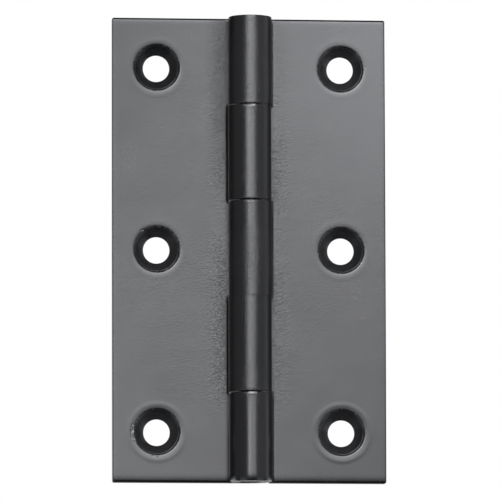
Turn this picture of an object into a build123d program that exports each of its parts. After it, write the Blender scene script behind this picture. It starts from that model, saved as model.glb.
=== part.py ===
"""Butt hinge with rolled knuckles: two sheet steel leaves on one pin, open flat.

Millimetres. Z runs up the pin, the origin is the middle of the pin's axis, and the screw
heads go in from -Y. The backs of both leaves lie in the plane tangent to the barrel's back.
"""
import os
from build123d import *

# Overall
HEIGHT = 102.0
OPEN_WIDTH = 60.0
SHEET = 2.3

# Barrel
BARREL_R = 4.75
BORE_R = BARREL_R - SHEET
PIN_R = 2.40
JOINT_Z = [31.5, 10.5, -10.5, -31.5]
JOINT_GAP = 0.26
NOTCH_X = 4.5
ROLL_END_DEG = 150.5

# Screw holes
HOLE_X = 20.25
HOLE_Z = [40.0, 0.0, -40.0]
HOLE_R = 2.9
SINK_R = 4.9
RIM_ROUND = 0.15

# Edges
CORNER_R = 0.5
FRONT_EDGE_R = 0.3
BACK_EDGE_R = 0.2
NOTCH_BREAK = 0.2

# Peened pin ends
MOUTH_R = 2.95
MOUTH_DEPTH = 0.55
CROWN = 0.12

FRONT_Y = BARREL_R - SHEET
BACK_Y = BARREL_R
HALF_HEIGHT = HEIGHT / 2
HALF_WIDTH = OPEN_WIDTH / 2
OVERLAP = 0.6


def block(x0, x1, y0, y1, z0, z1):
    """A box given by its limits."""
    centre = ((x0 + x1) / 2, (y0 + y1) / 2, (z0 + z1) / 2)
    return Pos(*centre) * Box(x1 - x0, y1 - y0, z1 - z0)


def knuckle_spans():
    """The (low z, high z) of the five knuckles, top one first."""
    tops = [HALF_HEIGHT] + [z - JOINT_GAP / 2 for z in JOINT_Z]
    lows = [z + JOINT_GAP / 2 for z in JOINT_Z] + [-HALF_HEIGHT]
    return list(zip(lows, tops))


def edges_at(part, y):
    """The edges of a part that lie in one plane of constant y."""
    return part.edges().filter_by_position(Axis.Y, y - 0.001, y + 0.001)


def plate():
    """The flat of a leaf on -X, up to the line of its notches."""
    flat = block(-HALF_WIDTH, -NOTCH_X, FRONT_Y, BACK_Y, -HALF_HEIGHT, HALF_HEIGHT)
    corners = flat.edges().filter_by(Axis.Y).group_by(Axis.X)[0]
    flat = fillet(corners, CORNER_R)
    front = [e for e in edges_at(flat, FRONT_Y) if e.center().X < -NOTCH_X - 0.01]
    flat = fillet(front, FRONT_EDGE_R)
    back = [e for e in edges_at(flat, BACK_Y) if e.center().X < -NOTCH_X - 0.01]
    return fillet(back, BACK_EDGE_R)


def strip_section(low, high):
    """The rounded cross-section of the strip that a knuckle is rolled from, at x = 0."""
    centre_y = (FRONT_Y + BACK_Y) / 2
    section = Plane.YZ * Pos(centre_y, (low + high) / 2) * Rectangle(SHEET, high - low)
    front = section.vertices().group_by(Axis.Y)[0]
    section = fillet(front, FRONT_EDGE_R)
    back = section.vertices().group_by(Axis.Y)[-1]
    return fillet(back, BACK_EDGE_R)


def knuckle(low, high):
    """One rolled knuckle with the strip that joins it to the plate on -X."""
    section = strip_section(low, high)
    strip = extrude(section, NOTCH_X + OVERLAP, dir=(-1, 0, 0))
    roll = revolve(section, Axis.Z, -(360 - (ROLL_END_DEG - 90)))
    return strip + roll


def mouth(z_end, up):
    """The cone that the peened pin end fills, at the barrel's top (up 1) or bottom (up -1)."""
    cone = Cone(BORE_R - 0.001, MOUTH_R, MOUTH_DEPTH, align=(Align.CENTER, Align.CENTER, Align.MIN))
    if up < 0:
        cone = Rot(180, 0, 0) * cone
    return Pos(0, 0, z_end - up * MOUTH_DEPTH) * cone


def screw_hole(z):
    """The cutter for one countersunk hole, with its axis along Y."""
    land_y = FRONT_Y + (SINK_R - HOLE_R)
    through = Cylinder(HOLE_R, 4 * SHEET)
    sink = Cone(SINK_R, HOLE_R, SINK_R - HOLE_R, align=(Align.CENTER, Align.CENTER, Align.MIN))
    cutter = through + sink
    cutter = Rot(-90, 0, 0) * cutter
    assert land_y < BACK_Y
    return Pos(-HOLE_X, FRONT_Y, z) * cutter


def notch_break(low, high):
    """The cutter that takes the sharp front edge off one notch."""
    size = NOTCH_BREAK
    corner = Pos(-NOTCH_X, FRONT_Y) * Rot(0, 0, 45) * Rectangle(size * 2**0.5, size * 2**0.5)
    return Pos(0, 0, low) * extrude(corner, high - low)


def leaf(own, other):
    """A leaf on -X with knuckles over its own spans and notches over the other leaf's."""
    part = plate()
    for low, high in own:
        part += knuckle(low, high)
    for low, high in other:
        part -= notch_break(low - JOINT_GAP, high + JOINT_GAP)
    for z in HOLE_Z:
        part -= screw_hole(z)
    rims = [e for e in edges_at(part, FRONT_Y).filter_by(GeomType.CIRCLE) if abs(e.radius - SINK_R) < 0.01]
    part = fillet(rims, RIM_ROUND)
    if own[0][1] == HALF_HEIGHT:
        part -= mouth(HALF_HEIGHT, 1)
        part -= mouth(-HALF_HEIGHT, -1)
    return part


def pin():
    """The pin, with both ends peened out into the barrel's mouths and hammered to a low crown."""
    shoulder = HALF_HEIGHT - MOUTH_DEPTH
    neck = shoulder - 0.05
    rim_z = HALF_HEIGHT - CROWN
    rim_r = MOUTH_R - (MOUTH_R - BORE_R) * CROWN / MOUTH_DEPTH
    crown_r = rim_r * 0.7
    half = [
        (PIN_R, neck),
        (BORE_R, shoulder),
        (rim_r, rim_z),
        (crown_r, HALF_HEIGHT),
        (0, HALF_HEIGHT),
    ]
    other = [(r, -z) for r, z in reversed(half)]
    profile = Plane.XZ * make_face(Polyline(*half, *other, close=True))
    return revolve(profile, Axis.Z, 360)


def main():
    os.makedirs("parts", exist_ok=True)
    spans = knuckle_spans()
    odd = spans[0::2]
    even = spans[1::2]
    three = leaf(odd, even)
    two = mirror(leaf(even, odd), about=Plane.YZ)
    for name, shape in (("three_knuckle_leaf", three), ("two_knuckle_leaf", two), ("pin", pin())):
        box = shape.bounding_box()
        print(name, len(shape.solids()), "solid", round(shape.volume, 2), "mm3", box.min, box.max)
        export_step(shape, f"parts/{name}.step")


main()
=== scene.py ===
"""A steel butt hinge with rolled knuckles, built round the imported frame. Blender 4.5."""
import math

import bpy
import numpy as np
from mathutils import Matrix, Vector, noise


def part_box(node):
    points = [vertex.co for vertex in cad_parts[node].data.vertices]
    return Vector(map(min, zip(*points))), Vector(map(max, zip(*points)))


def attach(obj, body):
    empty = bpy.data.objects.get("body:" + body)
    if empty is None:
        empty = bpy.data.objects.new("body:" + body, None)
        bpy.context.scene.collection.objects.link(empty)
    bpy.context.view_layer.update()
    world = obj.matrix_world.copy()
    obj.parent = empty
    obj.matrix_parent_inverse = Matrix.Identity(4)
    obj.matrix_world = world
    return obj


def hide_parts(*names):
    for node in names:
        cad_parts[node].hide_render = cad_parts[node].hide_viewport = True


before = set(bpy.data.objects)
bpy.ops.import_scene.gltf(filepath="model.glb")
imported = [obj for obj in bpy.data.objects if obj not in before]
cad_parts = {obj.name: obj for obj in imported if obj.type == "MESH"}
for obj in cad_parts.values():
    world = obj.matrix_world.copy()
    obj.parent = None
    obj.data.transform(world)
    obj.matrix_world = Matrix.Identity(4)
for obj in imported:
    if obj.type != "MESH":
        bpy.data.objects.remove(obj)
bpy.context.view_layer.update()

MM = 0.001

# ---------------------------------------------------------------- sizes, in mm
LEAF_LO, LEAF_HI = (np.array(v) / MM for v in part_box("three_knuckle_leaf"))
HALF_WIDTH = -LEAF_LO[0]
HALF_HEIGHT = LEAF_HI[2]
BARREL_R = LEAF_HI[1]
SHEET = 2.3
BORE_R = BARREL_R - SHEET
MID_R = (BORE_R + BARREL_R) / 2
FRONT_Y = BARREL_R - SHEET
ROLL_DEG = 299.5
NOTCH_X = 4.3
# how far the front corner of a notch's wall leans away from the barrel, to clear a leaf swung right back,
# and the depths below the face and the distance from the wall over which the lean fades out
NOTCH_LEAN = 0.07
LEAN_DEPTHS = (1.2, 0.8)
LEAN_REACH = 0.5
CORNER_R = 0.4
# how far a leaf's free corners bow out of its plane
BOW = 0.38
# the waves of the pressed sheet: their scale per mm, their place in the noise, and their height,
# and the distance from the notches over which they come in
WAVES = ((0.045, 0.0, 0.03), (0.16, 4.0, 0.006))
WAVE_MARGIN = 4
HOLE_X = 20.25
HOLE_Z = (40.0, 0.0, -40.0)
HOLE_COUNT = len(HOLE_Z)
# half the side of the square block of mesh round a hole, and the grid's usual step
BLOCK = 7.4
GRID = 0.5

# (radius, z) of the pin's upper half, from its end inwards
HALF_PIN = (
    (0, 50.96), (0.8, 50.95), (1.6, 50.91), (2.2, 50.85), (2.55, 50.75), (2.68, 50.6), (2.5, 50.4),
    (2.36, 50.3), (2.33, 50.0), (2.33, 40.0), (2.33, 20.0),
)
PIN_STEPS = 72

# ---------------------------------------------------------------- edges and joints
# A kind of edge: the radius of its round, how far the face sags towards it and from how far in,
# and the height of the burr beside it.
TOP_EDGE = (0.52, 0.05, 1.2, 0.0)
OUTLINE = (0.44, 0.1, 1.6, 0.0)
SIDE = (0.2, 0.05, 1.2, 0.0)
NOTCH = (0.82, 0.0, 1.0, 0.0)
WIDE_NOTCH = (1.2, 0.0, 1.0, 0.0)
SEAM = (0.2, 0.0, 1.0, 0.0)
BARREL_TOP = (0.16, 0.02, 0.5, 0.004)
BARREL_FOOT = (0.2, 0.15, 1.45, 0.0)
FILLED_END = (0.02, 0.0, 1.0, 0.0)
BURR_REACH = 0.95
# the round of the edges on the side that a leaf or the barrel hides
PLAIN_R = 0.18
# distances inside an edge at which the grid has a line
EDGE_STEPS = (0.0, 0.012, 0.045, 0.1, 0.17, 0.26, 0.36, 0.5, 0.68, 0.9, 1.2, 1.6)
# an edge of a notch shapes the faces up to this distance, and the grid has lines past its end up to this one
NOTCH_REACH = 2
NOTCH_LINES = 0.7
# the u over which the leaf's kinds of edge go over to the barrel's, and the showing face from front to back
KIND_CHANGE = (-5.5, -3.0)
FACE_CHANGE = (-4.4, -3.0)

# height of a joint between knuckles, its gap, and the kinds of the ends above and below it
JOINTS = (
    (31.5, 0.2, (0.08, 0.0, 1.0, 0.012), (0.07, 0.06, 0.5, 0.016)),
    (10.5, 0.22, (0.1, 0.01, 0.5, 0.008), (0.08, 0.07, 0.5, 0.004)),
    (-10.5, 0.035, FILLED_END, FILLED_END),
    (-31.5, 0.2, (0.12, 0.03, 0.8, 0.0), (0.08, 0.075, 0.55, 0.018)),
)

# ---------------------------------------------------------------- the roll's grid, in degrees and mm
ARC_STEP_DEG = 5
ARC_END_DEG = 14
SEAM_LINES = 9
SEAM_STEP = 0.32

# ---------------------------------------------------------------- screw holes, in mm
# radius from the hole's axis, depth below the leaf's face
SINK = (
    (7.3, 0.0), (7.0, 0.0), (6.75, 0.0), (6.5, 0.0), (6.28, 0.0), (6.1, 0.0), (5.9, 0.0005), (5.75, 0.002),
    (5.62, 0.0045), (5.5, 0.009), (5.4, 0.015), (5.3, 0.024), (5.2, 0.038), (5.1, 0.06), (5.02, 0.09),
    (4.95, 0.135), (4.9, 0.185), (4.84, 0.255), (4.8, 0.305), (4.76, 0.348), (4.72, 0.368), (4.66, 0.377),
    (4.62, 0.392), (4.58, 0.428), (4.5, 0.508), (4.3, 0.708), (4.0, 1.008), (3.6, 1.408), (3.2, 1.808),
    (3.02, 1.988), (2.97, 2.045), (2.93, 2.085), (2.905, 2.115), (2.9, 2.15), (2.9, 2.22), (2.915, 2.265),
    (2.96, 2.29), (3.03, 2.3), (3.4, 2.3), (4.4, 2.3), (5.6, 2.3), (6.9, 2.3),
)
# how far the rings between a hole's square block and its first round ring have gone over
BLOCK_RINGS = (0.3, 0.62, 0.87)
# chips, wear and crest reach no deeper than this
RIM_DEPTH = 0.4
# the low crest that pressing the countersink leaves round it, between these radii
CREST_IN, CREST_OUT = 5.4, 7.0
# heights of the crests round the three holes, top one first
THREE_CRESTS = (0.008, 0.006, 0.018)
TWO_CRESTS = (0.006, 0.008, 0.022)
# a chip in a hole's rim: which hole, angle and spread in degrees, radius, reach and depth
THREE_CHIPS = (
    (2, 183, 30, 5.45, 0.5, 0.1),
    (2, 266, 14, 5.3, 0.35, 0.07),
    (1, 128, 7, 5.3, 0.35, 0.08),
)
TWO_CHIPS = (
    (0, 175, 5, 5.5, 0.3, 0.07),
    (1, 215, 9, 5.3, 0.3, 0.05),
)
CHIP_GRAIN_R, CHIP_GRAIN_TURN = 4.5, 14.0

# ---------------------------------------------------------------- wear, from 0 to 1, and its reach in mm
EDGE_WEAR, EDGE_WEAR_REACH = 0.3, 0.4
RIM_WEAR, RIM_WEAR_R, RIM_WEAR_REACH = 0.43, 5.1, 0.3
CHIP_WEAR, CHIP_WEAR_DEPTHS = 0.9, (0.006, 0.03)
# the barrel's ends are rubbed most on its foremost strip, given by its half angle in radians
BARREL_WEAR, FOREMOST_WEAR, FOREMOST = 0.15, 0.62, (0.3, 0.1)
JOINT_WEAR_REACH = (0.7, 0.35)
TOP_WEAR_REACH = (0.45, 0.15)
WALL_WEAR = 0.2
BARREL_FOOT_WEAR = 1.3


def spans():
    """The (low z, high z) of the five knuckles, top one first."""
    tops = [HALF_HEIGHT] + [z - gap / 2 for z, gap, _, _ in JOINTS]
    lows = [z + gap / 2 for z, gap, _, _ in JOINTS] + [-HALF_HEIGHT]
    return list(zip(lows, tops))


def filled(lines, step):
    """Sorted lines with the wide gaps between them divided evenly."""
    lines = sorted(set(round(v, 5) for v in lines))
    out = [lines[0]]
    for a, b in zip(lines, lines[1:]):
        n = max(1, math.ceil((b - a) / step - 1e-6))
        out += [a + (b - a) * k / n for k in range(1, n + 1)]
    return out


def ramp(value, lo, hi):
    """0 at lo and beyond, 1 at hi and beyond, and straight in between."""
    return min(1.0, max(0.0, (value - lo) / (hi - lo)))


def fbm(x, y, z, octaves):
    """Fractal noise at a point."""
    return noise.fractal(Vector((x, y, z)), 1.0, 2.0, octaves)


def round_drop(d, radius):
    """The depth of a quarter round at a distance d inside its edge."""
    return radius - math.sqrt(max(0.0, radius**2 - (radius - d) ** 2)) if d < radius else 0.0


def sag_drop(d, sag, reach):
    """The depth of a sagging margin at a distance d inside its edge."""
    return sag * (1 - d / reach) ** 2 if d < reach else 0.0


def burr_rise(d, height):
    """The height of the low burr that shearing leaves beside an edge."""
    return height * math.sin(math.pi * d / BURR_REACH) ** 2 if d < BURR_REACH else 0.0


def crest_rise(r, height):
    """The height of the crest round a countersink at a radius r."""
    return height * math.sin(math.pi * ramp(r, CREST_IN, CREST_OUT)) ** 2


def mixed(a, b, t):
    """The kind of edge that goes from kind a to kind b as t goes from 0 to 1."""
    return tuple(p + (q - p) * t for p, q in zip(a, b))


def nearest(lines, value):
    """The number of the line nearest to a value."""
    return min(range(len(lines)), key=lambda n: abs(lines[n] - value))


class Leaf:
    """The mesh of one leaf: a punched blank, drawn flat in (u, z) and then rolled at its knuckles.

    u is x up to the pin's axis, and from there the arc length round the roll at mid sheet. The leaf is
    made on -X, and side is -1 where it is mirrored to +X.
    """

    def __init__(self, own, other, side, notch, bow, shift, seed, crests, chips):
        self.own = own
        self.other = other
        self.side = side
        self.notch = notch
        self.bow = bow
        self.shift = shift
        self.seed = seed
        self.crests = crests
        self.chips = chips
        self.u_end = MID_R * math.radians(ROLL_DEG)
        self.verts = []
        self.faces = []
        self.wear = []
        self.names = {}
        self.points = {}
        self.voids = self.find_voids()
        self.u = self.columns()
        self.z = self.rows()
        self.build()

    def columns(self):
        """The u of the grid's lines."""
        lines = [-HALF_WIDTH + s for s in EDGE_STEPS]
        lines += [-HOLE_X - BLOCK, -HOLE_X + BLOCK]
        lines += [-NOTCH_X - s for s in EDGE_STEPS]
        lines += [-NOTCH_X + s for s in EDGE_STEPS[1:7]]
        arc_degrees = range(ARC_STEP_DEG, int(ROLL_DEG) - ARC_END_DEG, ARC_STEP_DEG)
        arc = [MID_R * math.radians(a) for a in arc_degrees]
        end = [self.u_end - s for s in EDGE_STEPS[:SEAM_LINES]]
        return filled([*lines, 0.0], GRID) + arc + filled(end, SEAM_STEP)

    def rows(self):
        """The z of the grid's lines."""
        lines = [-HALF_HEIGHT + s for s in EDGE_STEPS]
        lines += [HALF_HEIGHT - s for s in EDGE_STEPS]
        for lo, hi in self.voids:
            for s in EDGE_STEPS:
                lines += [z for z in (lo - s, hi + s) if abs(z) < HALF_HEIGHT]
                if s < NOTCH_LINES:
                    lines += [z for z in (lo + s, hi - s) if abs(z) < HALF_HEIGHT]
        for z in HOLE_Z:
            lines += [z - BLOCK, z + BLOCK]
        return filled(lines, GRID)

    def find_voids(self):
        """The notches as (low z, high z), run on past the leaf's end where they open there."""
        far = 10 * HALF_HEIGHT
        gaps = {z: gap for z, gap, _, _ in JOINTS}
        found = []
        for low, high in self.other:
            below = min(gaps, key=lambda z: abs(z - low))
            above = min(gaps, key=lambda z: abs(z - high))
            lo = -far if low < 0.1 - HALF_HEIGHT else low - gaps[below]
            hi = far if high > HALF_HEIGHT - 0.1 else high + gaps[above]
            found.append((lo, hi))
        return found

    def end_kind(self, z, above):
        """The kind of knuckle end at the joint nearest to z, above or below that joint."""
        joint = min(JOINTS, key=lambda j: abs(j[0] - z))
        return joint[2] if above else joint[3]

    def edges(self, u, z):
        """Each edge near (u, z) as its distance and its kind."""
        barrel = ramp(u, *KIND_CHANGE)
        found = [
            (u + HALF_WIDTH, SIDE),
            (HALF_HEIGHT - z, mixed(TOP_EDGE, BARREL_TOP, barrel)),
            (z + HALF_HEIGHT, mixed(OUTLINE, BARREL_FOOT, barrel)),
            (self.u_end - u, SEAM),
        ]
        for lo, hi in self.voids:
            du = max(-NOTCH_X - u, 0.0)
            dz = max(lo - z, z - hi, 0.0)
            d = math.hypot(du, dz)
            if d < NOTCH_REACH:
                kind = self.end_kind(z, z > hi) if dz > 0 else self.notch
                found.append((d, mixed(self.notch, kind, dz / d if d > 0 else 0.0)))
        return [(max(d, 0.0), kind) for d, kind in found]

    def drops(self, u, edges):
        """How far the front and the back of the blank have drawn in at u, near these edges.

        The leaf shows its front and the barrel its back, and the face that shows has the shaped edges.
        """
        plain = max(round_drop(d, PLAIN_R) for d, _ in edges)
        shaped = max(round_drop(d, radius) for d, (radius, _, _, _) in edges)
        shaped += sum(sag_drop(d, sag, reach) - burr_rise(d, burr) for d, (_, sag, reach, burr) in edges)
        shown = ramp(u, *FACE_CHANGE)
        return shaped + (plain - shaped) * shown, plain + (shaped - plain) * shown

    def rubbed(self, u, z, edges):
        """How much the coat is rubbed through at (u, z), near these edges, from 0 to 1."""
        wear = max(EDGE_WEAR * ramp(d, EDGE_WEAR_REACH, 0.0) for d, _ in edges)
        if u > 0:
            off_front = abs(u / MID_R - math.pi)
            most = BARREL_WEAR + FOREMOST_WEAR * ramp(off_front, *FOREMOST)
            for z0, gap, _, end in JOINTS:
                if end is not FILLED_END and z < z0:
                    wear = max(wear, most * ramp(z0 - gap / 2 - z, *JOINT_WEAR_REACH))
            wear = max(wear, most * ramp(HALF_HEIGHT - z, *TOP_WEAR_REACH))
        return wear

    def point(self, i, j):
        """The grid's point (i, j), worked out once: u, z, the front's and the back's drop, and the wear."""
        if (i, j) not in self.points:
            u, z = self.u[i], self.z[j]
            edges = self.edges(u, z)
            self.points[i, j] = (u, z, *self.drops(u, edges), self.rubbed(u, z, edges))
        return self.points[i, j]

    def waviness(self, x, z):
        """The slight unevenness of a pressed and coated sheet."""
        total = 0.0
        for scale, place, height in WAVES:
            total += fbm(x * scale + self.seed, z * scale, self.seed + place, 2) * height
        return total

    def place(self, u, z, depth):
        """A point of the blank as (x, y, z) on the rolled leaf."""
        if u <= 0:
            au, az = u + HALF_WIDTH, HALF_HEIGHT - abs(z)
            if au < CORNER_R and az < CORNER_R:
                a, b = CORNER_R - au, CORNER_R - az
                k = max(a, b) / math.hypot(a, b)
                u = -HALF_WIDTH + CORNER_R - a * k
                z = math.copysign(HALF_HEIGHT - CORNER_R + b * k, z)
            x, y = u, FRONT_Y + depth
        else:
            phi = math.radians(90) - u / MID_R
            r = BORE_R + depth
            x, y = r * math.cos(phi), r * math.sin(phi)
        flat = max(0.0, -u - NOTCH_X)
        y += self.bow * flat / (HALF_WIDTH - NOTCH_X) * (z / HALF_HEIGHT) ** 2
        y -= self.waviness(x, z) * min(1.0, flat / WAVE_MARGIN)
        x -= NOTCH_LEAN * ramp(depth, *LEAN_DEPTHS) * ramp(abs(u + NOTCH_X), LEAN_REACH, 0.0)
        x += self.shift * ramp(u, -NOTCH_X, 0.0)
        return x, y, z

    def vertex(self, name, u, z, depth, wear=0.0):
        """The number of the vertex of this name, made when it is first asked for."""
        if name not in self.names:
            x, y, z = self.place(u, z, depth)
            self.names[name] = len(self.verts)
            self.verts.append((x * self.side * MM, y * MM, z * MM))
            self.wear.append(wear)
        return self.names[name]

    def front(self, i, j):
        u, z, front, _, wear = self.point(i, j)
        return self.vertex(("f", i, j), u, z, front, wear)

    def back(self, i, j):
        u, z, _, back, wear = self.point(i, j)
        return self.vertex(("b", i, j), u, z, SHEET - back, wear)

    def quad(self, *ring):
        """A face, turned so that it looks outwards on either side."""
        self.faces.append(ring if self.side > 0 else ring[::-1])

    def cell_middle(self, i, j):
        return (self.u[i] + self.u[i + 1]) / 2, (self.z[j] + self.z[j + 1]) / 2

    def in_hole_block(self, i, j):
        """True where this cell of the grid is part of a hole's square block."""
        u, z = self.cell_middle(i, j)
        return any(abs(u + HOLE_X) < BLOCK and abs(z - hole_z) < BLOCK for hole_z in HOLE_Z)

    def present(self, i, j):
        """True where this cell of the grid is metal."""
        if not (0 <= i < len(self.u) - 1 and 0 <= j < len(self.z) - 1):
            return False
        u, z = self.cell_middle(i, j)
        return u < -NOTCH_X or any(lo < z < hi for lo, hi in self.own)

    def build(self):
        # a neighbouring cell, and the two ends of the side that the cell shares with it
        sides = (
            (-1, 0, (0, 1), (0, 0)),
            (1, 0, (1, 0), (1, 1)),
            (0, -1, (0, 0), (1, 0)),
            (0, 1, (1, 1), (0, 1)),
        )
        for i in range(len(self.u) - 1):
            for j in range(len(self.z) - 1):
                if not self.present(i, j):
                    continue
                if not self.in_hole_block(i, j):
                    self.cell(i, j)
                for di, dj, p, q in sides:
                    if not self.present(i + di, j + dj):
                        self.wall((i + p[0], j + p[1]), (i + q[0], j + q[1]))
        for k in range(HOLE_COUNT):
            self.hole(k)

    def cell(self, i, j):
        """The front and the back of one cell of the grid."""
        f, b = self.front, self.back
        self.quad(f(i, j), f(i + 1, j), f(i + 1, j + 1), f(i, j + 1))
        self.quad(b(i, j), b(i, j + 1), b(i + 1, j + 1), b(i + 1, j))

    def wall(self, p, q):
        """The punched edge between two neighbouring points of the outline."""
        rings = []
        for i, j in (p, q):
            u, z, front, back, _ = self.point(i, j)
            low = SHEET - back
            wear = BARREL_FOOT_WEAR if u > 0 and z < 0.1 - HALF_HEIGHT else WALL_WEAR
            ring = [self.front(i, j)]
            for k in (1, 2, 3):
                ring.append(self.vertex(("w", i, j, k), u, z, front + (low - front) * k / 4, wear))
            rings.append(ring + [self.back(i, j)])
        a, b = rings
        for k in range(len(a) - 1):
            self.quad(a[k], a[k + 1], b[k + 1], b[k])

    def chipped(self, k, r, angle):
        """How deep the rim of hole k is chipped at this radius and angle."""
        depth = 0.0
        for hole, middle, spread, radius, reach, bite in self.chips:
            turn = (math.degrees(angle) - middle + 180) % 360 - 180
            away = math.hypot(turn / spread, (r - radius) / reach)
            if hole == k and away < 1:
                rough = noise.noise(Vector((r * CHIP_GRAIN_R, angle * CHIP_GRAIN_TURN, self.seed)))
                depth += bite * (1 - away**2) * max(0.0, 0.35 + 1.6 * rough)
        return depth

    def hole(self, k):
        """The countersunk hole k, as rings inside its square block."""
        hole_z = HOLE_Z[k]
        i0, i1 = nearest(self.u, -HOLE_X - BLOCK), nearest(self.u, -HOLE_X + BLOCK)
        j0, j1 = nearest(self.z, hole_z - BLOCK), nearest(self.z, hole_z + BLOCK)
        loop = [(i, j0) for i in range(i0, i1)]
        loop += [(i1, j) for j in range(j0, j1)]
        loop += [(i, j1) for i in range(i1, i0, -1)]
        loop += [(i0, j) for j in range(j1, j0, -1)]
        around = [(self.u[i] + HOLE_X, self.z[j] - hole_z) for i, j in loop]
        angles = [math.atan2(z, x) for x, z in around]
        outer_r = SINK[0][0]

        rings = [[self.front(i, j) for i, j in loop]]
        for n, t in enumerate(BLOCK_RINGS):
            ring = []
            for m, (x, z) in enumerate(around):
                u = x + (outer_r * math.cos(angles[m]) - x) * t - HOLE_X
                v = z + (outer_r * math.sin(angles[m]) - z) * t + hole_z
                ring.append(self.vertex(("h", k, "a", n, m), u, v, 0.0))
            rings.append(ring)
        for n, (r, depth) in enumerate(SINK):
            ring = []
            for m, angle in enumerate(angles):
                u, z = r * math.cos(angle) - HOLE_X, r * math.sin(angle) + hole_z
                shaped, wear = self.rim(k, r, angle) if depth < RIM_DEPTH else (0.0, 0.0)
                ring.append(self.vertex(("h", k, "s", n, m), u, z, depth + shaped, wear))
            rings.append(ring)
        rings.append([self.back(i, j) for i, j in loop])

        for a, b in zip(rings, rings[1:]):
            for m in range(len(loop)):
                n = (m + 1) % len(loop)
                self.quad(a[m], a[n], b[n], b[m])

    def rim(self, k, r, angle):
        """What chips and the crest add to the depth of hole k's rim, and how much the rim is rubbed."""
        chip = self.chipped(k, r, angle)
        wear = RIM_WEAR * ramp(abs(r - RIM_WEAR_R), RIM_WEAR_REACH, 0.0)
        wear = max(wear, CHIP_WEAR * ramp(chip, *CHIP_WEAR_DEPTHS))
        return chip - crest_rise(r, self.crests[k]), wear

    def mesh(self, name):
        me = bpy.data.meshes.new(name)
        me.from_pydata(self.verts, [], self.faces)
        me.update()
        me.shade_smooth()
        wear = me.attributes.new("wear", "FLOAT", "POINT")
        wear.data.foreach_set("value", self.wear)
        return me


def lathe(name, profile, steps):
    """A closed turned mesh from (radius, z) pairs in mm that start and end on the axis."""
    verts, faces, rings = [], [], []
    for r, z in profile:
        count = 1 if r == 0 else steps
        rings.append(list(range(len(verts), len(verts) + count)))
        for k in range(count):
            angle = 2 * math.pi * k / steps
            verts.append((r * math.cos(angle) * MM, r * math.sin(angle) * MM, z * MM))
    for a, b in zip(rings, rings[1:]):
        for k in range(steps):
            n = (k + 1) % steps
            if len(a) == 1:
                faces.append((a[0], b[n], b[k]))
            elif len(b) == 1:
                faces.append((a[k], a[n], b[0]))
            else:
                faces.append((a[k], a[n], b[n], b[k]))
    me = bpy.data.meshes.new(name)
    me.from_pydata(verts, [], faces)
    me.update()
    me.shade_smooth()
    return me


def add_piece(name, mesh, body, node, material):
    """A visible piece that rides on a body and replaces a node of the frame."""
    ob = bpy.data.objects.new(name, mesh)
    bpy.context.scene.collection.objects.link(ob)
    mesh.materials.append(material)
    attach(ob, body)
    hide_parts(node)
    return ob


# ---------------------------------------------------------------- nodes
def node(tree, kind, **values):
    """A new node, with its inputs given as in_NAME and its properties by their names."""
    n = tree.nodes.new(kind)
    for key, value in values.items():
        if key.startswith("in_"):
            n.inputs[key[3:].replace("_", " ")].default_value = value
        else:
            setattr(n, key, value)
    return n


def math_node(tree, op, *values):
    """The result of a Math node on values that are sockets or plain numbers."""
    n = node(tree, "ShaderNodeMath", operation=op)
    for socket, value in zip(n.inputs, values):
        if isinstance(value, (int, float)):
            socket.default_value = value
        else:
            tree.links.new(value, socket)
    return n.outputs[0]


def times(tree, a, b):
    return math_node(tree, "MULTIPLY", a, b)


def plus(tree, a, b):
    return math_node(tree, "ADD", a, b)


def minus(tree, a, b):
    return math_node(tree, "SUBTRACT", a, b)


def ranged(tree, value, lo, hi, out_lo=0.0, out_hi=1.0, smooth=True):
    """A value going from out_lo to out_hi as the given one goes from lo to hi, and held beyond them."""
    n = node(tree, "ShaderNodeMapRange", interpolation_type="SMOOTHSTEP" if smooth else "LINEAR")
    tree.links.new(value, n.inputs["Value"])
    n.inputs["From Min"].default_value = lo
    n.inputs["From Max"].default_value = hi
    n.inputs["To Min"].default_value = out_lo
    n.inputs["To Max"].default_value = out_hi
    return n.outputs["Result"]


def color_mix(tree, factor, a, b):
    """A colour going from a to b, each a socket or a plain colour, as factor goes from 0 to 1."""
    n = node(tree, "ShaderNodeMix", data_type="RGBA")
    tree.links.new(factor, n.inputs["Factor"])
    for socket, value in ((n.inputs[6], a), (n.inputs[7], b)):
        if isinstance(value, tuple):
            socket.default_value = (*value, 1)
        else:
            tree.links.new(value, socket)
    return n.outputs[2]


def number_mix(tree, factor, a, b):
    """A number going from a to b as factor goes from 0 to 1."""
    return plus(tree, times(tree, factor, minus(tree, b, a)), a)


def noise_at(tree, coords, scale, detail, roughness=0.5, distortion=0.0):
    """The value of a noise texture at these coordinates."""
    n = node(tree, "ShaderNodeTexNoise", in_Scale=scale, in_Detail=detail, in_Roughness=roughness,
             in_Distortion=distortion)
    tree.links.new(coords, n.inputs["Vector"])
    return n.outputs["Fac"]


# ---------------------------------------------------------------- the coat, with lengths in metres
COAT_DARK = (0.222, 0.226, 0.236)
COAT_LIGHT = (0.240, 0.243, 0.253)
COAT_METALLIC = 0.95
MOTTLE_SCALE, FLECK_SCALE = 140.0, 900.0
COAT_GLOSS = (0.235, 0.275)
BARREL_GLOSS = 0.85
BARE_STEEL = (0.84, 0.82, 0.78)
BARE_ROUGHNESS = 0.42
RUSTY_STEEL = (0.46, 0.25, 0.15)
# the x, either side, where the barrel's silhouette ends and the flat of a leaf begins to show
BARREL_EDGE = (0.0046, 0.0049)

GRAIN_SCALE = 4300.0
GRAIN_HEIGHT = 0.000078
# how strongly the grain's height is painted into the coat's colour: painted shade in its hollows, painted
# light on its crests
GRAIN_PAINTED_SHADE = 0.25
# the ripples' length and width, as factors on the diagonals of x and z
GRAIN_ALONG, GRAIN_ACROSS = 0.48, 0.71
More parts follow.
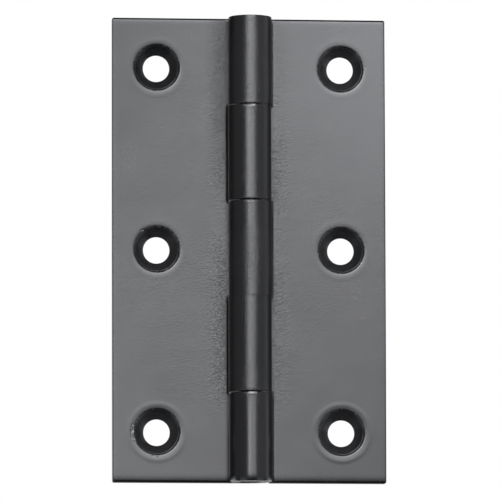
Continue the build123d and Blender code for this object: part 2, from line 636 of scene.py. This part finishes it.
# where the grain weakens: in patches by their noise, towards the foot, and towards the top
PATCH_SCALE, GRAIN_PATCHES = 55.0, (0.3, 0.7, 0.65, 1.35)
GRAIN_FOOT, GRAIN_TOP = (-0.04, -0.028, 0.3, 1.0), (0.03, 0.045, 1.0, 0.8)
# the grain's strength on the flat, what the band beside the barrel adds, and what the barrel adds
GRAIN_FLAT, GRAIN_BESIDE, GRAIN_BARREL = 0.22, 0.8, 0.6
# the band beside the barrel comes in and fades out over these distances from the pin's axis
BAND_IN, BAND_OUT = (0.0047, 0.0052), (0.0055, 0.0105)

PIT_SCALE = 230.0
PIT_CHOICE = (0.95, 0.96)
PIT_SIZE = (0.02, 0.05)
# the pinholes are painted near black, as painted shade, by this much
PIT_PAINTED_SHADE = (0.03, 0.03, 0.03)
PIT_SHADE_AMOUNT, PIT_DEPTH, BARE_DEPTH = 0.6, -1.2, -0.6

# painted light on the coat towards +X above the middle, and painted shade towards -X
PAINTED_LIGHT_SHADE_Z, PAINTED_LIGHT_SHADE_X, PAINTED_LIGHT_SHADE_BY = (-0.01, 0.045), (-0.03, 0.02), (-0.1, 0.16)
# and painted shade in the corner beside the barrel on -X, towards the top
PAINTED_SHADE_X, PAINTED_SHADE_Z, PAINTED_SHADE_BY = (-0.0105, -0.0052), (0.008, 0.032), -0.32


def wrinkles(tree, coords, x, y, z, away):
    """The height of the coat's wrinkled grain: short slanting ripples, strongest beside the barrel."""
    slanted = tree.nodes.new("ShaderNodeCombineXYZ")
    along = times(tree, plus(tree, x, z), GRAIN_ALONG)
    across = times(tree, minus(tree, x, z), GRAIN_ACROSS)
    for value, socket in zip((along, y, across), slanted.inputs):
        tree.links.new(value, socket)
    ripple = noise_at(tree, slanted.outputs[0], GRAIN_SCALE, 2.0, 0.55, 0.5)
    patch = noise_at(tree, coords, PATCH_SCALE, 2.0)

    beside = times(tree, ranged(tree, away, *BAND_IN), ranged(tree, away, *BAND_OUT, 1.0, 0.0))
    strength = plus(tree, times(tree, beside, GRAIN_BESIDE), GRAIN_FLAT)
    strength = plus(tree, strength, ranged(tree, away, *BARREL_EDGE, GRAIN_BARREL, 0.0))
    strength = times(tree, strength, ranged(tree, patch, *GRAIN_PATCHES))
    strength = times(tree, strength, ranged(tree, z, *GRAIN_FOOT))
    strength = times(tree, strength, ranged(tree, z, *GRAIN_TOP))
    return times(tree, minus(tree, ripple, 0.5), strength)


def pits(tree, coords):
    """A few tiny pinholes in the coat: 1 inside a pit, 0 elsewhere."""
    cells = node(tree, "ShaderNodeTexVoronoi", in_Scale=PIT_SCALE)
    tree.links.new(coords, cells.inputs["Vector"])
    split = tree.nodes.new("ShaderNodeSeparateColor")
    tree.links.new(cells.outputs["Color"], split.inputs[0])
    chosen = ranged(tree, split.outputs[0], *PIT_CHOICE, smooth=False)
    size = ranged(tree, cells.outputs["Distance"], *PIT_SIZE, 1.0, 0.0)
    return times(tree, chosen, size)


def painted_coat_shade(tree, height, x, z, away):
    """How much lighter or darker the coat's colour is painted, as a factor: painted shade and light on the
    grain, painted light and shade across the leaves, and painted shade beside the barrel.
    """
    # painted shade in the grain's hollows and painted light on its crests, weaker on the barrel
    shaded = times(tree, height, ranged(tree, away, *BARREL_EDGE, 0.2, 1.0))
    shade = ranged(tree, shaded, -0.25, 0.25, 1 - GRAIN_PAINTED_SHADE, 1 + GRAIN_PAINTED_SHADE, False)
    # painted light towards +X above the middle, painted shade towards -X
    painted_light_shade = times(tree, ranged(tree, z, *PAINTED_LIGHT_SHADE_Z), ranged(tree, x, *PAINTED_LIGHT_SHADE_X, *PAINTED_LIGHT_SHADE_BY, False))
    shade = times(tree, shade, plus(tree, painted_light_shade, 1.0))
    # painted shade in the corner beside the barrel on -X, towards the top
    painted_shade_mask = times(tree, ranged(tree, x, *PAINTED_SHADE_X), ranged(tree, x, -0.0049, -0.0046, 1.0, 0.0))
    painted_shade = times(tree, painted_shade_mask, ranged(tree, z, *PAINTED_SHADE_Z, 0.0, PAINTED_SHADE_BY))
    return times(tree, shade, plus(tree, painted_shade, 1.0))


def coated_steel(name):
    """A thin dark satin coat on steel: wrinkled grain, faint mottling, pinholes, rubbed edges, and painted
    light and shade in its colour.
    """
    mat = bpy.data.materials.new(name)
    mat.use_nodes = True
    tree = mat.node_tree
    link = tree.links.new
    shader = tree.nodes["Principled BSDF"]
    shader.inputs["Metallic"].default_value = COAT_METALLIC
    shader.inputs["IOR"].default_value = 1.5
    coords = tree.nodes.new("ShaderNodeTexCoord").outputs["Object"]
    split = tree.nodes.new("ShaderNodeSeparateXYZ")
    link(coords, split.inputs[0])
    x, y, z = split.outputs
    away = math_node(tree, "ABSOLUTE", x)

    mottle = noise_at(tree, coords, MOTTLE_SCALE, 6.0, 0.62)
    coat = color_mix(tree, ranged(tree, mottle, 0.32, 0.68, smooth=False), COAT_DARK, COAT_LIGHT)
    gloss = ranged(tree, mottle, 0.3, 0.7, *COAT_GLOSS, False)
    gloss = times(tree, gloss, ranged(tree, away, *BARREL_EDGE, BARREL_GLOSS, 1.0))

    wear = tree.nodes.new("ShaderNodeAttribute")
    wear.attribute_name = "wear"
    fleck = noise_at(tree, coords, FLECK_SCALE, 4.0, 0.65)
    patchy = times(tree, wear.outputs["Fac"], ranged(tree, fleck, 0.3, 0.62, 0.35, 1.5))
    bare = ranged(tree, patchy, 0.45, 0.95)
    rusty = times(tree, ranged(tree, fleck, 0.56, 0.62), ranged(tree, wear.outputs["Fac"], 0.96, 1.1))
    metal = color_mix(tree, rusty, BARE_STEEL, RUSTY_STEEL)
    colour = color_mix(tree, bare, coat, metal)

    height = wrinkles(tree, coords, x, y, z, away)
    # the coat's colour scaled by its painted light and shade
    colour_with_painted_shade = node(tree, "ShaderNodeVectorMath", operation="SCALE")
    link(colour, colour_with_painted_shade.inputs[0])
    link(painted_coat_shade(tree, height, x, z, away), colour_with_painted_shade.inputs["Scale"])
    pit = pits(tree, coords)
    # painted shade in the pinholes
    pitted = color_mix(tree, times(tree, pit, PIT_SHADE_AMOUNT), colour_with_painted_shade.outputs[0], PIT_PAINTED_SHADE)
    link(pitted, shader.inputs["Base Color"])
    link(number_mix(tree, bare, gloss, BARE_ROUGHNESS), shader.inputs["Roughness"])

    height = plus(tree, height, times(tree, pit, PIT_DEPTH))
    height = plus(tree, height, times(tree, bare, BARE_DEPTH))
    bump = node(tree, "ShaderNodeBump", in_Strength=1.0, in_Distance=GRAIN_HEIGHT)
    link(height, bump.inputs["Height"])
    link(bump.outputs["Normal"], shader.inputs["Normal"])
    return mat


# ---------------------------------------------------------------- the hinge
def hinge():
    all_spans = spans()
    odd, even = all_spans[0::2], all_spans[1::2]
    leaf_steel = coated_steel("coated_steel")
    pin_steel = coated_steel("pin_steel")

    three = Leaf(odd, even, side=1, notch=NOTCH, bow=-BOW * 0.8, shift=0.04, seed=3.1,
                 crests=THREE_CRESTS, chips=THREE_CHIPS)
    add_piece("leaf_three_knuckles", three.mesh("leaf_three_knuckles"), "three_knuckle_leaf",
              "three_knuckle_leaf", leaf_steel)
    two = Leaf(even, odd, side=-1, notch=WIDE_NOTCH, bow=BOW, shift=0.08, seed=11.7,
               crests=TWO_CRESTS, chips=TWO_CHIPS)
    add_piece("leaf_two_knuckles", two.mesh("leaf_two_knuckles"), "two_knuckle_leaf",
              "two_knuckle_leaf", leaf_steel)

    lower_half = [(r, -z) for r, z in HALF_PIN]
    pin = lathe("pin", lower_half + list(reversed(HALF_PIN)), PIN_STEPS)
    add_piece("hinge_pin", pin, "three_knuckle_leaf", "pin", pin_steel)


# ---------------------------------------------------------------- studio
# The surroundings are this dim but for soft boxes. A soft box is an azimuth range and its softness, an
# elevation range and its softness, in degrees, and a level. Azimuth 0 is straight in front of the hinge
# for the first ones, and straight behind it for the others.
AMBIENT = 0.014
FRONT_BOXES = (
    (-20, 21, 4, 1.5, 36, 8, 0.86),
    (-15.5, -8, 3, 1.5, 36, 8, 1.25),
    (4, 14, 4, 1.5, 36, 8, 0.07),
    (-24, 20, 6, 12, 36, 7, 0.75),
    (84, 113, 8, -8, 40, 8, 0.13),
    (21, 100, 9, -8, 50, 12, 0.12),
    (-100, -20, 10, -8, 50, 12, 0.06),
    (30, 68, 8, -40, -12, 6, 0.3),
    (-68, -30, 8, -40, -12, 6, 0.3),
)
REAR_BOXES = (
    (-36, 36, 6, -3, 26, 3, 0.6),
    (-65, 65, 8, -48, -12, 5, 0.45),
    (-80, -26, 8, -40, -4, 6, 0.8),
    (28, 80, 8, -40, -4, 6, 0.8),
    (-60, 60, 8, 40, 60, 5, 0.25),
)


def within(tree, angle, lo, hi, soft):
    """1 where an angle is between lo and hi, in degrees, with soft ends."""
    rise = ranged(tree, angle, math.radians(lo - soft), math.radians(lo + soft))
    fall = ranged(tree, angle, math.radians(hi - soft), math.radians(hi + soft), 1.0, 0.0)
    return times(tree, rise, fall)


def soft_box(tree, azimuth, elevation, az_lo, az_hi, az_soft, el_lo, el_hi, el_soft, level):
    """A soft-edged patch of light on the surroundings."""
    across = within(tree, azimuth, az_lo, az_hi, az_soft)
    upwards = within(tree, elevation, el_lo, el_hi, el_soft)
    return times(tree, times(tree, across, upwards), level)


def studio():
    """White where the camera sees the surroundings, and soft boxes for all other light."""
    world = bpy.data.worlds.new("studio")
    bpy.context.scene.world = world
    world.use_nodes = True
    tree = world.node_tree
    tree.nodes.clear()
    link = tree.links.new
    coords = tree.nodes.new("ShaderNodeTexCoord").outputs["Generated"]
    split = tree.nodes.new("ShaderNodeSeparateXYZ")
    link(coords, split.inputs[0])
    x, y, z = split.outputs
    from_front = math_node(tree, "ARCTAN2", x, times(tree, y, -1.0))
    from_rear = math_node(tree, "ARCTAN2", x, y)
    elevation = math_node(tree, "ARCSINE", z)
    boxes = [soft_box(tree, from_front, elevation, *box) for box in FRONT_BOXES]
    boxes += [soft_box(tree, from_rear, elevation, *box) for box in REAR_BOXES]
    total = AMBIENT
    for box in boxes:
        total = plus(tree, box, total)
    seen = tree.nodes.new("ShaderNodeLightPath").outputs["Is Camera Ray"]
    level = plus(tree, times(tree, total, minus(tree, 1.0, seen)), seen)
    background = tree.nodes.new("ShaderNodeBackground")
    background.inputs["Color"].default_value = (1, 1, 1, 1)
    link(level, background.inputs["Strength"])
    out = tree.nodes.new("ShaderNodeOutputWorld")
    link(background.outputs[0], out.inputs["Surface"])


def floor():
    """A plain pale floor well below the hinge."""
    z, half = -0.8, 12
    me = bpy.data.meshes.new("floor")
    corners = [(-half, -half, z), (half, -half, z), (half, half, z), (-half, half, z)]
    me.from_pydata(corners, [], [(0, 1, 2, 3)])
    ob = bpy.data.objects.new("floor", me)
    bpy.context.scene.collection.objects.link(ob)
    mat = bpy.data.materials.new("floor")
    mat.use_nodes = True
    shader = mat.node_tree.nodes["Principled BSDF"]
    shader.inputs["Base Color"].default_value = (0.8, 0.8, 0.8, 1)
    shader.inputs["Roughness"].default_value = 0.9
    shader.inputs["Emission Color"].default_value = (1, 1, 1, 1)
    shader.inputs["Emission Strength"].default_value = 0.7
    me.materials.append(mat)
    ob.visible_glossy = False
    ob.visible_diffuse = False


def camera():
    """Low and slightly left of square on, far off with a long lens."""
    distance = 1.7
    azimuth, elevation, roll = math.radians(-5.3), math.radians(-6.0), math.radians(-0.15)
    # the width of the view at the hinge, and the middle of the view from the origin, in mm
    view_width = 109.17
    aim_right, aim_up = -0.0655, -0.2402

    back = Vector((math.sin(azimuth) * math.cos(elevation), -math.cos(azimuth) * math.cos(elevation),
                   math.sin(elevation)))
    right = Vector((math.cos(azimuth), math.sin(azimuth), 0))
    up = back.cross(right)
    turn = Matrix.Rotation(roll, 3, back)
    right, up = turn @ right, turn @ up
    data = bpy.data.cameras.new("camera")
    data.sensor_width = 36
    data.lens = data.sensor_width * distance / (view_width * MM)
    data.clip_start, data.clip_end = 0.05, 50
    ob = bpy.data.objects.new("camera", data)
    bpy.context.scene.collection.objects.link(ob)
    place = right * (aim_right * MM) + up * (aim_up * MM) + back * distance
    ob.matrix_world = Matrix.Translation(place) @ Matrix((right, up, back)).transposed().to_4x4()
    bpy.context.scene.camera = ob


hinge()
studio()
floor()
camera()
bpy.context.scene.view_settings.view_transform = "Standard"
